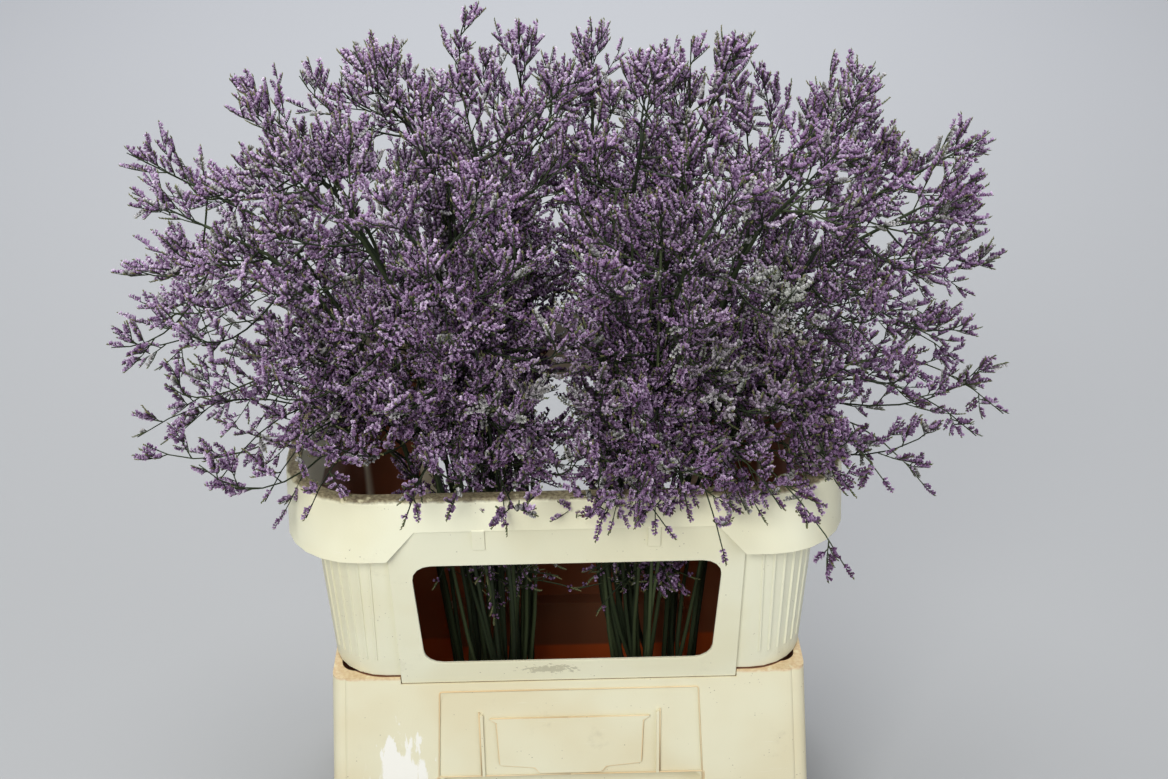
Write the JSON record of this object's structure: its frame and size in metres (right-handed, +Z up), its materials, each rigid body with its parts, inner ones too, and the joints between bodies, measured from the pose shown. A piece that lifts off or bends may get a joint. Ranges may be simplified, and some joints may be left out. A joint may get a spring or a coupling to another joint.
{
  "type": "dried statice in a cut-flower container",
  "caption": "Dried statice with lilac florets on branching stems, standing in a cream plastic bucket under an open collar with windows.",
  "frame": {"origin": "centre of the bucket's base, on the surface it stands on", "axes": "+X to the right along the container's length, +Y to the back, +Z up"},
  "size_m": [0.6616, 0.4336, 0.6993],
  "materials": {
    "bucket_plastic": "cream moulded polyethylene, worn and lightly soiled",
    "collar_plastic": "cream moulded polyethylene, brown dirt along the rim",
    "statice": "dry papery lilac florets on dark green stems"
  },
  "bodies": {
    "root": {"bucket": "bucket_plastic", "collar": "collar_plastic", "spray_left_01": "statice", "spray_left_02": "statice", "spray_left_03": "statice", "spray_left_04": "statice", "spray_left_05": "statice", "spray_left_06": "statice", "spray_left_07": "statice", "spray_left_08": "statice", "spray_left_09": "statice", "spray_left_10": "statice", "spray_right_01": "statice", "spray_right_02": "statice", "spray_right_03": "statice", "spray_right_04": "statice", "spray_right_05": "statice", "spray_right_06": "statice", "spray_right_07": "statice", "spray_right_08": "statice", "spray_right_09": "statice", "spray_right_10": "statice"}
  },
  "joints": []
}
